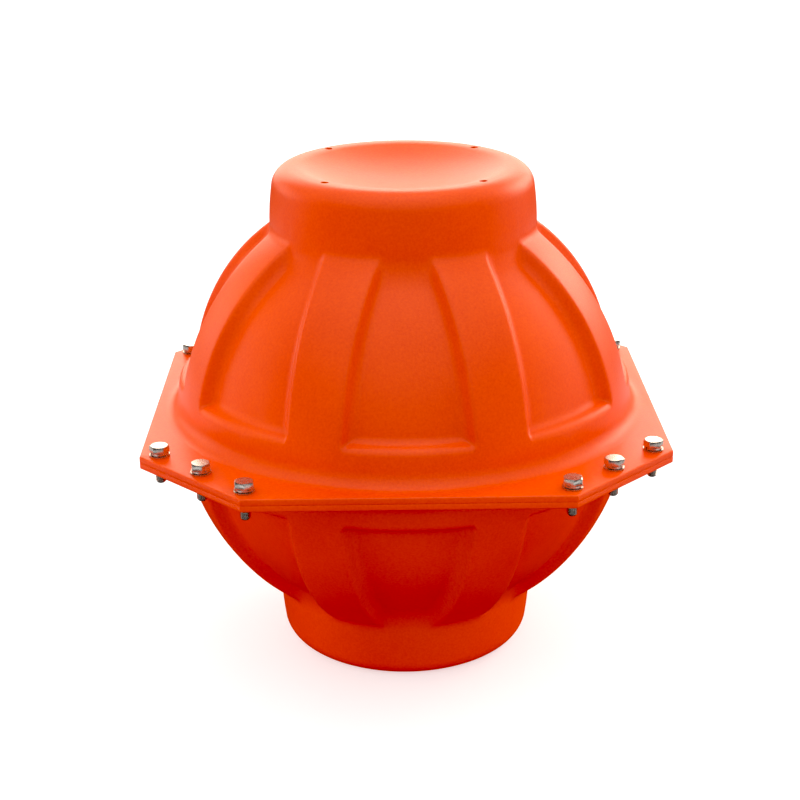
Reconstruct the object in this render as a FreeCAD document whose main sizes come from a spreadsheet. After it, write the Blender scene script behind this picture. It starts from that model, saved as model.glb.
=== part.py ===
import FreeCAD, Part
import math
import os

from FreeCAD import Placement, Rotation, Vector
import Sketcher

# Deep-sea glass float in a hard hat
#
# A hollow glass sphere in two ground halves sits inside two equal orange plastic
# hats. Each hat is one moulding of even wall: an eight-sided flange, a base ring,
# eight ribs that stand over eight sunk panels, and a hollow neck with a dished top.
# The hats meet flange to flange. Twelve bolts, three at each cut corner, go through
# both flanges into round press nuts that sit in the lower one.
#
# Frame: +Z up, the front looks to -Y, the origin is the centre of the ring on which
# the lower neck stands. Lengths are in millimetres and angles in degrees.

doc = FreeCAD.newDocument("deep_sea_float")

# Driving dimensions
#
# The glass sphere sets the scale, and the hats fit around it.

DIMENSIONS = {
    "glass_radius": 216.0,
    "glass_wall": 14.0,
    "glass_clearance": 0.5,
    "seal_thickness": 0.8,
    "seal_width": 20.0,
    "tape_thickness": 1.2,
    "tape_width": 50.0,
    "hat_wall": 7.0,
    "flange_reach": 22.0,
    "flange_thickness": 6.5,
    "flange_edge_rounding": 1.5,
    "flange_seam_rounding": 0.6,
    "flange_corner_rounding": 2.0,
    "corner_cut": 104.5,
    "ring_root_rounding": 16.0,
    "ledge_height": 34.9,
    "ledge_lean": 28.5,
    "ledge_crest_rounding": 8.0,
    "ledge_root_rounding": 8.0,
    "rib_count": 8,
    "rib_height": 13.0,
    "rib_half_width": 28.5,
    "rib_side_draft": 22.0,
    "rib_crest_rounding": 4.0,
    "rib_root_rounding": 8.0,
    "rib_root_overlap": 0.05,
    "rib_end_depth": 14.0,
    "neck_radius": 132.2,
    "neck_rise": 32.5,
    "neck_draft": 3.9,
    "neck_root_rounding": 20.0,
    "crest_rounding": 20.0,
    "crest_land": 1.0,
    "dish_radius": 303.7,
    "dish_depth": 18.0,
    "dish_rim_rounding": 30.0,
    "flood_hole_radius": 4.0,
    "flood_hole_inset": 24.7,
    "thread_radius": 5.0,
    "shank_radius": 4.5,
    "bolt_end_reach": 12.8,
    "bolt_end_chamfer": 1.0,
    "bolt_hole_clearance": 0.5,
    "bolt_inset": 15.8,
    "bolt_end_inset": 11.6,
    "head_across_flats": 17.0,
    "head_height": 6.4,
    "hex_chamfer_angle": 30.0,
    "head_top_ratio": 0.96,
    "thread_clearance": 0.1,
    "collar_radius": 9.0,
    "collar_thickness": 2.0,
    "barrel_radius": 7.0,
    "barrel_clearance": 0.2,
    "barrel_end_gap": 0.5,
    "washer_radius": 10.0,
    "washer_thickness": 2.0,
    "washer_clearance": 0.25,
    "spring_washer_radius": 9.0,
    "spring_washer_thickness": 2.2,
    "spring_washer_gap": 1.0,
}

sheet = doc.addObject("Spreadsheet::Sheet", "dims")
for row, (alias, number) in enumerate(DIMENSIONS.items(), start=1):
    sheet.set(f"A{row}", alias)
    sheet.set(f"B{row}", str(number))
    sheet.setAlias(f"B{row}", alias)
doc.recompute()


def size(alias):
    """The number that the sheet holds under this alias."""
    return float(sheet.get(alias))


# Sizes that follow from the driving ones, as expressions for the features
#
# The crest of the neck is rounded as far as the room beside the dish allows.

PANEL_RADIUS = "(dims.glass_radius + dims.glass_clearance + dims.hat_wall)"
RIB_RADIUS = f"({PANEL_RADIUS} + dims.rib_height)"
HALF_HEIGHT = f"({PANEL_RADIUS} + dims.neck_rise)"
FLANGE_HALF_WIDTH = f"({RIB_RADIUS} + dims.flange_reach)"
FLANGE_HALF_EDGE = f"({FLANGE_HALF_WIDTH} - dims.corner_cut)"
RIB_SWEEP = f"acos((dims.neck_radius - dims.rib_end_depth) / {RIB_RADIUS})"
HALF_RIB_PITCH = "180 / dims.rib_count"
DISH_SWEEP = "(dims.dish_radius + dims.dish_rim_rounding)"
DISH_REACH = f"sqrt({DISH_SWEEP} ^ 2 - ({DISH_SWEEP} - dims.dish_depth) ^ 2)"
CREST_ROOM = f"(dims.neck_radius - dims.crest_land - {DISH_REACH})"
CREST_ROUNDING = f"min(dims.crest_rounding; {CREST_ROOM})"
FLOOD_ROW = "(dims.neck_radius - dims.flood_hole_inset)"
BOLT_ROW = f"(({FLANGE_HALF_WIDTH} + {FLANGE_HALF_EDGE}) / sqrt(2) - dims.bolt_inset)"
BOLT_SPACING = "(dims.corner_cut / sqrt(2) - dims.bolt_end_inset)"
STACK = "(dims.washer_thickness + dims.spring_washer_thickness + 2 * dims.flange_thickness)"
SHANK_LENGTH = f"({STACK} + dims.collar_thickness)"
BOLT_LENGTH = f"({SHANK_LENGTH} + dims.bolt_end_reach)"
SEAT_RADIUS = "(dims.barrel_radius + dims.barrel_clearance)"

# The same sizes as numbers, for the first drawing of each sketch

CORNER_ANGLE = 45
UP = Vector(0, 0, 1)
panel_radius = size("glass_radius") + size("glass_clearance") + size("hat_wall")
rib_radius = panel_radius + size("rib_height")
half_height = panel_radius + size("neck_rise")
dish_sweep = size("dish_radius") + size("dish_rim_rounding")
dish_reach = math.sqrt(dish_sweep ** 2 - (dish_sweep - size("dish_depth")) ** 2)
crest_room = size("neck_radius") - size("crest_land") - dish_reach
crest_rounding = min(size("crest_rounding"), crest_room)
flange_half_width = rib_radius + size("flange_reach")
flange_half_edge = flange_half_width - size("corner_cut")
bolt_row = (flange_half_width + flange_half_edge) / math.sqrt(2) - size("bolt_inset")
bolt_spacing = size("corner_cut") / math.sqrt(2) - size("bolt_end_inset")


# Helpers for sketches and features

def origin_feature(body, role):
    return next(item for item in body.Origin.OriginFeatures if item.Role == role)


def new_sketch(body, name, plane, turn=None):
    """A sketch on an origin plane, turned in that plane where an angle is given."""
    sketch = body.newObject("Sketcher::SketchObject", name)
    sketch.AttachmentSupport = (origin_feature(body, plane), [""])
    sketch.MapMode = "FlatFace"
    if turn is not None:
        sketch.AttachmentOffset = Placement(Vector(), Rotation(UP, CORNER_ANGLE))
        sketch.setExpression("AttachmentOffset.Rotation.Angle", turn)
    return sketch


def flat(x, y):
    """A point or a direction in the plane of a sketch."""
    return Vector(x, y, 0)


def way_to_circle(start, direction, radius):
    """How far it is from start, along direction, to the circle about the origin."""
    along = start.dot(direction)
    return -along - math.sqrt(along ** 2 - start.dot(start) + radius ** 2)


def add_line(sketch, start, end):
    return sketch.addGeometry(Part.LineSegment(start, end), False)


def add_arc(sketch, centre, start, end):
    """An arc about centre, counterclockwise from start to end."""
    first = math.atan2(start.y - centre.y, start.x - centre.x)
    last = math.atan2(end.y - centre.y, end.x - centre.x)
    circle = Part.Circle(centre, UP, centre.distanceToPoint(start))
    return sketch.addGeometry(Part.ArcOfCircle(circle, first, last), False)


def constrain(sketch, *terms):
    return sketch.addConstraint(Sketcher.Constraint(*terms))


def drive(sketch, name, expression, *terms):
    """Add a dimension to the sketch and tie it to the sheet."""
    index = constrain(sketch, *terms)
    sketch.renameConstraint(index, name)
    sketch.setExpression(f"Constraints.{name}", expression)


def add_fillet(body, base, name, edge_names, radius):
    fillet = body.newObject("PartDesign::Fillet", name)
    fillet.Base = (base, edge_names)
    fillet.setExpression("Radius", radius)
    doc.recompute()
    return fillet


def add_polar(body, feature, name, count):
    pattern = body.newObject("PartDesign::PolarPattern", name)
    pattern.Originals = [feature]
    pattern.Axis = (origin_feature(body, "Z_Axis"), [""])
    pattern.Angle = 360.0
    pattern.setExpression("Occurrences", count)
    body.Tip = pattern
    doc.recompute()
    return pattern


# Finding edges by the faces that meet there

def on_level(height):
    def test(face):
        flat_face = isinstance(face.Surface, Part.Plane)
        return flat_face and abs(face.Surface.Axis.z) > 0.999 and abs(face.CenterOfMass.z - height) < 0.01
    return test


def upright(face):
    return isinstance(face.Surface, Part.Plane) and abs(face.Surface.Axis.z) < 0.001


def edges_between(feature, first, second):
    """Names of the edges where a face of the first kind meets one of the second."""
    shape = feature.Shape
    names = []
    for number, edge in enumerate(shape.Edges, start=1):
        one, other = shape.ancestorsOfType(edge, Part.Face)
        if (first(one) and second(other)) or (first(other) and second(one)):
            names.append(f"Edge{number}")
    return names


# One hat
#
# The outside is the flange, the turned dome and the ribs. The inside repeats the
# same turned profile and the same ribs, one wall further in, so the wall stays even.
# Heights are counted from the face where the two hats meet.

def draw_dome_profile(sketch, hollow):
    """Half section of the dome, or of the hollow that lies one wall inside it."""
    wall = size("hat_wall") if hollow else 0.0
    less = " - dims.hat_wall" if hollow else ""
    more = " + dims.hat_wall" if hollow else ""
    ring = rib_radius - wall
    panel = panel_radius - wall
    top_z = half_height - wall
    crest = crest_rounding - wall
    fillet = size("neck_root_rounding") + wall
    rim = size("dish_rim_rounding") - wall
    dish = size("dish_radius") + wall
    ledge_z = size("ledge_height")
    lean = math.radians(size("ledge_lean"))
    draft = math.radians(size("neck_draft"))

    ledge_in = flat(-math.cos(lean), math.sin(lean))
    ring_end = flat(math.sqrt(ring ** 2 - ledge_z ** 2), ledge_z)
    neck_out = flat(math.cos(draft), math.sin(draft))
    neck_down = flat(math.sin(draft), -math.cos(draft))
    side_top = flat(size("neck_radius") - wall * math.cos(draft), top_z - crest + crest * math.sin(draft))
    crest_centre = side_top - neck_out * crest
    beside = side_top + neck_out * fillet
    fillet_centre = beside + neck_down * way_to_circle(beside, neck_down, panel + fillet)
    panel_end = fillet_centre * (panel / (panel + fillet))
    dish_low = flat(0, top_z - size("dish_depth"))
    dish_centre = dish_low + flat(0, dish)
    rim_y = top_z - rim
    rim_centre = flat(dish_reach, rim_y)
    dish_edge = dish_centre + (rim_centre - dish_centre) * (dish / (dish + rim))

    if hollow:
        ring_start = flat(ring, 0)
        ledge_start = ring_end
        ledge_end = ring_end + ledge_in * way_to_circle(ring_end, ledge_in, panel)
        panel_start = ledge_end
        base = add_line(sketch, flat(0, 0), ring_start)
    else:
        root = size("ring_root_rounding")
        root_z = size("flange_thickness") + root
        root_centre = flat(math.sqrt((ring + root) ** 2 - root_z ** 2), root_z)
        root_foot = root_centre - flat(0, root)
        ring_start = root_centre * (ring / (ring + root))
        ledge_up = flat(math.sin(lean), math.cos(lean))
        convex = size("ledge_crest_rounding")
        concave = size("ledge_root_rounding")
        convex_centre = ring_end * ((ring - convex) / ring)
        ledge_start = convex_centre + ledge_up * convex
        above = ledge_start + ledge_up * concave
        concave_centre = above + ledge_in * way_to_circle(above, ledge_in, panel + concave)
        ledge_end = concave_centre - ledge_up * concave
        panel_start = concave_centre * (panel / (panel + concave))
        base = add_line(sketch, flat(0, 0), flat(root_foot.x, 0))
        foot = add_line(sketch, flat(root_foot.x, 0), root_foot)
        root_arc = add_arc(sketch, root_centre, ring_start, root_foot)
        convex_arc = add_arc(sketch, convex_centre, ring_end, ledge_start)
        concave_arc = add_arc(sketch, concave_centre, panel_start, ledge_end)

    ring_arc = add_arc(sketch, flat(0, 0), ring_start, ring_end)
    ledge = add_line(sketch, ledge_start, ledge_end)
    panel_arc = add_arc(sketch, flat(0, 0), panel_start, panel_end)
    fillet_arc = add_arc(sketch, fillet_centre, fillet_centre - neck_out * fillet, panel_end)
    side = add_line(sketch, fillet_centre - neck_out * fillet, side_top)
    crest_arc = add_arc(sketch, crest_centre, side_top, crest_centre + flat(0, crest))
    top = add_line(sketch, crest_centre + flat(0, crest), rim_centre + flat(0, rim))
    rim_arc = add_arc(sketch, rim_centre, rim_centre + flat(0, rim), dish_edge)
    dish_arc = add_arc(sketch, dish_centre, dish_low, dish_edge)
    axis = add_line(sketch, dish_low, flat(0, 0))

    constrain(sketch, "Coincident", base, 1, -1, 1)
    constrain(sketch, "PointOnObject", base, 2, -1)
    constrain(sketch, "Coincident", ring_arc, 3, -1, 1)
    constrain(sketch, "Coincident", panel_arc, 3, -1, 1)
    constrain(sketch, "Tangent", panel_arc, 2, fillet_arc, 2)
    constrain(sketch, "Tangent", fillet_arc, 1, side, 1)
    constrain(sketch, "Tangent", side, 2, crest_arc, 1)
    constrain(sketch, "Tangent", crest_arc, 2, top, 1)
    constrain(sketch, "Horizontal", top)
    constrain(sketch, "Tangent", top, 2, rim_arc, 1)
    constrain(sketch, "Tangent", rim_arc, 2, dish_arc, 2)
    constrain(sketch, "PointOnObject", dish_arc, 3, -2)
    constrain(sketch, "PointOnObject", dish_arc, 1, -2)
    constrain(sketch, "Coincident", dish_arc, 1, axis, 1)
    constrain(sketch, "Coincident", axis, 2, base, 1)

    if hollow:
        constrain(sketch, "Coincident", base, 2, ring_arc, 1)
        constrain(sketch, "Coincident", ring_arc, 2, ledge, 1)
        constrain(sketch, "Coincident", ledge, 2, panel_arc, 1)
    else:
        constrain(sketch, "Coincident", base, 2, foot, 1)
        constrain(sketch, "Vertical", foot)
        constrain(sketch, "Coincident", foot, 2, root_arc, 2)
        constrain(sketch, "Vertical", root_arc, 3, foot, 2)
        constrain(sketch, "Tangent", root_arc, 1, ring_arc, 1)
        constrain(sketch, "Tangent", ring_arc, 2, convex_arc, 1)
        constrain(sketch, "Tangent", convex_arc, 2, ledge, 1)
        constrain(sketch, "Tangent", ledge, 2, concave_arc, 2)
        constrain(sketch, "Tangent", concave_arc, 1, panel_arc, 1)
        drive(sketch, "flange_top", "dims.flange_thickness", "DistanceY", -1, 1, foot, 2, root_foot.y)
        drive(sketch, "ring_root", "dims.ring_root_rounding", "Radius", root_arc, root)
        drive(sketch, "ledge_crest", "dims.ledge_crest_rounding", "Radius", convex_arc, convex)
        drive(sketch, "ledge_root", "dims.ledge_root_rounding", "Radius", concave_arc, concave)

    neck = "dims.neck_radius" + (" - dims.hat_wall * cos(dims.neck_draft)" if hollow else "")
    drive(sketch, "ring_radius", RIB_RADIUS + less, "Radius", ring_arc, ring)
    drive(sketch, "panel_radius", PANEL_RADIUS + less, "Radius", panel_arc, panel)
    drive(sketch, "ledge_height", "dims.ledge_height", "DistanceY", -1, 1, ring_arc, 2, ledge_z)
    drive(sketch, "ledge_lean", "180 - dims.ledge_lean", "Angle", ledge, math.pi - lean)
    drive(sketch, "neck_root", "dims.neck_root_rounding" + more, "Radius", fillet_arc, fillet)
    drive(sketch, "neck_lean", "90 + dims.neck_draft", "Angle", side, math.pi / 2 + draft)
    drive(sketch, "neck_radius", neck, "DistanceX", -1, 1, side, 2, side_top.x)
    drive(sketch, "crest", CREST_ROUNDING + less, "Radius", crest_arc, crest)
    drive(sketch, "top_height", HALF_HEIGHT + less, "DistanceY", -1, 1, top, 1, top_z)
    drive(sketch, "dish_rim", "dims.dish_rim_rounding" + less, "Radius", rim_arc, rim)
    drive(sketch, "dish_radius", "dims.dish_radius" + more, "Radius", dish_arc, dish)
    drive(sketch, "dish_depth", "dims.dish_depth", "DistanceY", dish_arc, 1, top, 2, size("dish_depth"))


def draw_rib_section(sketch):
    """Section of a rib: domed crest, rounded shoulders, drafted sides and flared feet."""
    draft = math.radians(size("rib_side_draft"))
    shoulder = size("rib_crest_rounding")
    flare = size("rib_root_rounding")
    half = size("rib_half_width")
    seat = panel_radius - size("rib_root_overlap")
    inner = panel_radius - size("hat_wall")

    down = flat(-math.cos(draft), math.sin(draft))
    outward = flat(math.sin(draft), math.cos(draft))
    centre_y = half - shoulder * math.cos(draft)
    centre = flat(math.sqrt((rib_radius - shoulder) ** 2 - centre_y ** 2), centre_y)
    crest_end = centre * (rib_radius / (rib_radius - shoulder))
    side_top = centre + outward * shoulder
    beside = side_top + outward * flare
    flare_centre = beside + down * way_to_circle(beside, down, seat + flare)
    side_foot = flare_centre - outward * flare
    flare_end = flare_centre * (seat / (seat + flare))
    inner_end = flare_centre * (inner / (seat + flare))

    def other(point):
        return flat(point.x, -point.y)

    crest = add_arc(sketch, flat(0, 0), other(crest_end), crest_end)
    left = add_arc(sketch, centre, crest_end, side_top)
    left_side = add_line(sketch, side_top, side_foot)
    left_flare = add_arc(sketch, flare_centre, flare_end, side_foot)
    left_wall = add_line(sketch, flare_end, inner_end)
    base = add_line(sketch, inner_end, other(inner_end))
    right_wall = add_line(sketch, other(inner_end), other(flare_end))
    right_flare = add_arc(sketch, other(flare_centre), other(side_foot), other(flare_end))
    right_side = add_line(sketch, other(side_foot), other(side_top))
    right = add_arc(sketch, other(centre), other(side_top), other(crest_end))

    constrain(sketch, "Coincident", crest, 3, -1, 1)
    constrain(sketch, "Tangent", crest, 2, left, 1)
    constrain(sketch, "Tangent", left, 2, left_side, 1)
    constrain(sketch, "Tangent", left_side, 2, left_flare, 2)
    constrain(sketch, "Coincident", left_flare, 1, left_wall, 1)
    constrain(sketch, "PointOnObject", left_flare, 3, left_wall)
    constrain(sketch, "PointOnObject", -1, 1, left_wall)
    constrain(sketch, "Coincident", left_wall, 2, base, 1)
    constrain(sketch, "Coincident", base, 2, right_wall, 1)
    constrain(sketch, "Coincident", right_wall, 2, right_flare, 2)
    constrain(sketch, "Tangent", right_flare, 1, right_side, 1)
    constrain(sketch, "Tangent", right_side, 2, right, 1)
    constrain(sketch, "Tangent", right, 2, crest, 1)
    constrain(sketch, "Symmetric", left_side, 1, right_side, 2, -1)
    constrain(sketch, "Symmetric", left_side, 2, right_side, 1, -1)
    constrain(sketch, "Symmetric", left_wall, 1, right_wall, 2, -1)
    constrain(sketch, "Symmetric", left_wall, 2, right_wall, 1, -1)
    drive(sketch, "crest_radius", RIB_RADIUS, "Radius", crest, rib_radius)
    drive(sketch, "shoulder", "dims.rib_crest_rounding", "Radius", left, shoulder)
    drive(sketch, "half_width", "dims.rib_half_width", "DistanceY", -1, 1, left, 2, half)
    drive(sketch, "side_lean", "180 - dims.rib_side_draft", "Angle", left_side, math.pi - draft)
    drive(sketch, "flare", "dims.rib_root_rounding", "Radius", left_flare, flare)
    drive(sketch, "seat", PANEL_RADIUS + " - dims.rib_root_overlap", "Distance", -1, 1, left_wall, 1, seat)
    drive(sketch, "inner", PANEL_RADIUS + " - dims.hat_wall", "Distance", -1, 1, left_wall, 2, inner)


def draw_channel_section(sketch):
    """Section of the hollow behind a rib, one wall further in."""
    draft = math.radians(size("rib_side_draft"))
    wall = size("hat_wall")
    radius = rib_radius - wall
    half = size("rib_half_width") - wall
    foot = panel_radius - 2 * wall
    crest_x = math.sqrt(radius ** 2 - half ** 2)
    foot_y = half + (crest_x - foot) * math.tan(draft)

    crest = add_arc(sketch, flat(0, 0), flat(crest_x, -half), flat(crest_x, half))
    left_side = add_line(sketch, flat(crest_x, half), flat(foot, foot_y))
    base = add_line(sketch, flat(foot, foot_y), flat(foot, -foot_y))
    right_side = add_line(sketch, flat(foot, -foot_y), flat(crest_x, -half))

    constrain(sketch, "Coincident", crest, 3, -1, 1)
    constrain(sketch, "Coincident", crest, 2, left_side, 1)
    constrain(sketch, "Coincident", left_side, 2, base, 1)
    constrain(sketch, "Coincident", base, 2, right_side, 1)
    constrain(sketch, "Coincident", right_side, 2, crest, 1)
    constrain(sketch, "Symmetric", base, 1, base, 2, -1)
    constrain(sketch, "Symmetric", crest, 1, crest, 2, -1)
    drive(sketch, "crest_radius", RIB_RADIUS + " - dims.hat_wall", "Radius", crest, radius)
    half_width = "dims.rib_half_width - dims.hat_wall"
    drive(sketch, "half_width", half_width, "DistanceY", -1, 1, crest, 2, half)
    drive(sketch, "foot_radius", PANEL_RADIUS + " - 2 * dims.hat_wall", "DistanceX", -1, 1, base, 1, foot)
    drive(sketch, "side_lean", "180 - dims.rib_side_draft", "Angle", left_side, math.pi - draft)


def draw_flange_outline(sketch):
    """Square with cut corners, as eight lines."""
    wide = flange_half_width
    edge = flange_half_edge
    corners = [flat(-edge, -wide), flat(edge, -wide), flat(wide, -edge), flat(wide, edge),
               flat(edge, wide), flat(-edge, wide), flat(-wide, edge), flat(-wide, -edge)]
    lines = []
    for index, corner in enumerate(corners):
        lines.append(add_line(sketch, corner, corners[(index + 1) % len(corners)]))
    for index, line in enumerate(lines):
        constrain(sketch, "Coincident", line, 2, lines[(index + 1) % len(lines)], 1)
    front, right, back, left = lines[0], lines[2], lines[4], lines[6]
    constrain(sketch, "Symmetric", front, 1, front, 2, -2)
    constrain(sketch, "Symmetric", right, 1, right, 2, -1)
    constrain(sketch, "Symmetric", front, 1, back, 2, -1)
    constrain(sketch, "Symmetric", front, 2, back, 1, -1)
    constrain(sketch, "Symmetric", right, 1, left, 2, -2)
    constrain(sketch, "Symmetric", right, 2, left, 1, -2)
    drive(sketch, "front_edge", "2 * " + FLANGE_HALF_EDGE, "DistanceX", front, 1, front, 2, 2 * edge)
    drive(sketch, "side_edge", "2 * " + FLANGE_HALF_EDGE, "DistanceY", right, 1, right, 2, 2 * edge)
    drive(sketch, "front_reach", FLANGE_HALF_WIDTH, "DistanceY", front, 1, -1, 1, wide)
    drive(sketch, "side_reach", FLANGE_HALF_WIDTH, "DistanceX", -1, 1, right, 1, wide)


def draw_hole(sketch, name, x, x_expression, y, y_expression, radius, radius_expression):
    circle = Part.Circle(flat(x, y), UP, radius)
    hole = sketch.addGeometry(circle, False)
    drive(sketch, name + "_radius", radius_expression, "Radius", hole, radius)
    drive(sketch, name + "_x", x_expression, "DistanceX", -1, 1, hole, 3, x)
    if y == 0:
        constrain(sketch, "PointOnObject", hole, 3, -1)
    elif y > 0:
        drive(sketch, name + "_y", y_expression, "DistanceY", -1, 1, hole, 3, y)
    else:
        drive(sketch, name + "_y", y_expression, "DistanceY", hole, 3, -1, 1, -y)


def turn_about(body, kind, name, sketch, sweep=None):
    """Turn a profile about the vertical line of its own sketch."""
    feature = body.newObject(kind, name)
    feature.Profile = sketch
    feature.ReferenceAxis = (sketch, ["V_Axis"])
    if sweep is None:
        feature.Angle = 360.0
    else:
        feature.setExpression("Angle", sweep)
        feature.Reversed = True
    doc.recompute()
    return feature


def make_hat(label):
    body = doc.addObject("PartDesign::Body", label)
    body.Label = label

    outline = new_sketch(body, "flange_outline", "XY_Plane")
    draw_flange_outline(outline)
    flange = body.newObject("PartDesign::Pad", "flange")
    flange.Profile = outline
    flange.setExpression("Length", "dims.flange_thickness")
    doc.recompute()
    corners = edges_between(flange, upright, upright)
    last = add_fillet(body, flange, "flange_corners", corners, "dims.flange_corner_rounding")
    rim = edges_between(last, upright, on_level(size("flange_thickness")))
    last = add_fillet(body, last, "flange_rim", rim, "dims.flange_edge_rounding")
    seam = edges_between(last, upright, on_level(0))
    add_fillet(body, last, "flange_seam", seam, "dims.flange_seam_rounding")

    dome_profile = new_sketch(body, "dome_profile", "XZ_Plane")
    draw_dome_profile(dome_profile, hollow=False)
    turn_about(body, "PartDesign::Revolution", "dome", dome_profile)
    rib_section = new_sketch(body, "rib_section", "XY_Plane", HALF_RIB_PITCH)
    draw_rib_section(rib_section)
    rib = turn_about(body, "PartDesign::Revolution", "rib", rib_section, RIB_SWEEP)
    add_polar(body, rib, "ribs", "dims.rib_count")

    hollow_profile = new_sketch(body, "hollow_profile", "XZ_Plane")
    draw_dome_profile(hollow_profile, hollow=True)
    turn_about(body, "PartDesign::Groove", "hollow", hollow_profile)
    channel_section = new_sketch(body, "channel_section", "XY_Plane", HALF_RIB_PITCH)
    draw_channel_section(channel_section)
    channel = turn_about(body, "PartDesign::Groove", "channel", channel_section, RIB_SWEEP)
    add_polar(body, channel, "channels", "dims.rib_count")

    bolt_circles = new_sketch(body, "bolt_circles", "XY_Plane", str(CORNER_ANGLE))
    hole_radius = "dims.thread_radius + dims.bolt_hole_clearance"
    radius = size("thread_radius") + size("bolt_hole_clearance")
    for name, side in (("near", -1), ("middle", 0), ("far", 1)):
        offset = side * bolt_spacing
        draw_hole(bolt_circles, name, bolt_row, BOLT_ROW, offset, BOLT_SPACING, radius, hole_radius)
    bolt_holes = body.newObject("PartDesign::Pocket", "bolt_holes")
    bolt_holes.Profile = bolt_circles
    bolt_holes.Reversed = True
    bolt_holes.setExpression("Length", "dims.flange_thickness")
    doc.recompute()
    add_polar(body, bolt_holes, "bolt_holes_all_round", "4")

    flood_circle = new_sketch(body, "flood_circle", "XY_Plane", str(CORNER_ANGLE))
    flood_radius = size("flood_hole_radius")
    flood_row = size("neck_radius") - size("flood_hole_inset")
    draw_hole(flood_circle, "flood", flood_row, FLOOD_ROW, 0, "", flood_radius, "dims.flood_hole_radius")
    flood_hole = body.newObject("PartDesign::Pocket", "flood_hole")
    flood_hole.Profile = flood_circle
    flood_hole.Reversed = True
    flood_hole.setExpression("Length", HALF_HEIGHT)
    doc.recompute()
    add_polar(body, flood_hole, "flood_holes", "4")
    return body


upper_hat = make_hat("upper_hat")
upper_hat.setExpression("Placement.Base.z", HALF_HEIGHT)
doc.recompute()
lower_blank = doc.addObject("Part::Feature", "lower_hat_blank")
lower_blank.Shape = upper_hat.Shape.copy()
lower_blank.Placement = Placement(Vector(0, 0, half_height), Rotation(Vector(1, 0, 0), 180))


# The glass sphere and its joint

def make_sphere(name, radius, low="-90", high="90"):
    ball = doc.addObject("Part::Sphere", name)
    ball.setExpression("Radius", radius)
    ball.setExpression("Angle1", low)
    ball.setExpression("Angle2", high)
    return ball


def make_cut(name, base, tool):
    cut = doc.addObject("Part::Cut", name)
    cut.Base = base
    cut.Tool = tool
    return cut


def make_glass_half(label, low, high):
    outside = make_sphere(label + "_outside", "dims.glass_radius", low, high)
    inside = make_sphere(label + "_inside", "dims.glass_radius - dims.glass_wall")
    half = make_cut(label, outside, inside)
    half.setExpression("Placement.Base.z", HALF_HEIGHT)
    return half


def make_band(name, width, thickness):
    """A band that lies on the sphere, the same width above and below the joint."""
    reach = f"asin({width} / 2 / (dims.glass_radius + {thickness}))"
    outside = make_sphere(name + "_outside", f"dims.glass_radius + {thickness}", f"-{reach}", reach)
    inside = make_sphere(name + "_inside", "dims.glass_radius")
    return make_cut(name, outside, inside)


glass_upper_half = make_glass_half("glass_upper_half", "0", "90")
glass_lower_half = make_glass_half("glass_lower_half", "-90", "0")
seal_band = make_band("seal_band", "dims.seal_width", "dims.seal_thickness")
seal_blank = make_band("seal_blank", "dims.seal_width", "dims.seal_thickness")
tape_blank = make_band("tape_blank", "dims.tape_width", "(dims.seal_thickness + dims.tape_thickness)")
tape_band = make_cut("tape_band", tape_blank, seal_blank)
seal_band.setExpression("Placement.Base.z", HALF_HEIGHT)
tape_band.setExpression("Placement.Base.z", HALF_HEIGHT)


# Fasteners
#
# One blank of each kind is modelled about the Z axis and copied to its places.

def make_cylinder(name, radius, height, base="0"):
    rod = doc.addObject("Part::Cylinder", name)
    rod.setExpression("Radius", radius)
    rod.setExpression("Height", height)
    rod.setExpression("Placement.Base.z", base)
    return rod


def make_cone(name, lower_radius, upper_radius, height, base="0"):
    cone = doc.addObject("Part::Cone", name)
    cone.setExpression("Radius1", lower_radius)
    cone.setExpression("Radius2", upper_radius)
    cone.setExpression("Height", height)
    cone.setExpression("Placement.Base.z", base)
    return cone


def make_head():
    """A hexagonal bar with the corners of its top turned off."""
    height = "dims.head_height"
    bar = doc.addObject("Part::Prism", "head_bar")
    bar.Polygon = 6
    bar.setExpression("Circumradius", "dims.head_across_flats / sqrt(3)")
    bar.setExpression("Height", height)
    top_radius = "dims.head_across_flats / 2 * dims.head_top_ratio"
    foot_radius = f"({top_radius} + {height} / tan(dims.hex_chamfer_angle))"
    crown = make_cone("head_crown", foot_radius, top_radius, height)
    head = doc.addObject("Part::MultiCommon", "bolt_head")
    head.Shapes = [bar, crown]
    return head


def make_ring(name, outer_radius, inner_radius, height):
    outer = make_cylinder(name + "_outer", outer_radius, height)
    inner = make_cylinder(name + "_inner", inner_radius, height)
    return make_cut(name, outer, inner)


def make_bolt():
    """The seat of the head lies at zero and the shank points down.

    The shank, and the thread inside the press nut, have the radius of mid thread. The free
    thread below the nut has its full radius.
    """
    head = make_head()
    shank = make_cylinder("bolt_shank", "dims.shank_radius", SHANK_LENGTH, "-" + SHANK_LENGTH)
    thread_length = "(dims.bolt_end_reach - dims.bolt_end_chamfer)"
    thread_end = f"-{SHANK_LENGTH} - {thread_length}"
    thread = make_cylinder("bolt_thread", "dims.thread_radius", thread_length, thread_end)
    end_radius = "dims.thread_radius - dims.bolt_end_chamfer"
    end = make_cone("bolt_end", end_radius, "dims.thread_radius", "dims.bolt_end_chamfer", "-" + BOLT_LENGTH)
    bolt = doc.addObject("Part::MultiFuse", "bolt")
    bolt.Shapes = [head, shank, thread, end]
    bolt.Refine = True
    return bolt


def make_press_nut():
    """The collar hangs below zero, against the flange, and the barrel stands up in its hole."""
    under = "-dims.collar_thickness"
    collar = make_cylinder("nut_collar", "dims.collar_radius", "dims.collar_thickness", under)
    barrel = make_cylinder("nut_barrel", "dims.barrel_radius", "dims.flange_thickness - dims.barrel_end_gap")
    blank = doc.addObject("Part::MultiFuse", "nut_blank")
    blank.Shapes = [collar, barrel]
    bore_radius = "dims.shank_radius + dims.thread_clearance"
    bore_length = "dims.collar_thickness + dims.flange_thickness"
    bore = make_cylinder("nut_bore", bore_radius, bore_length, under)
    return make_cut("press_nut", blank, bore)


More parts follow.
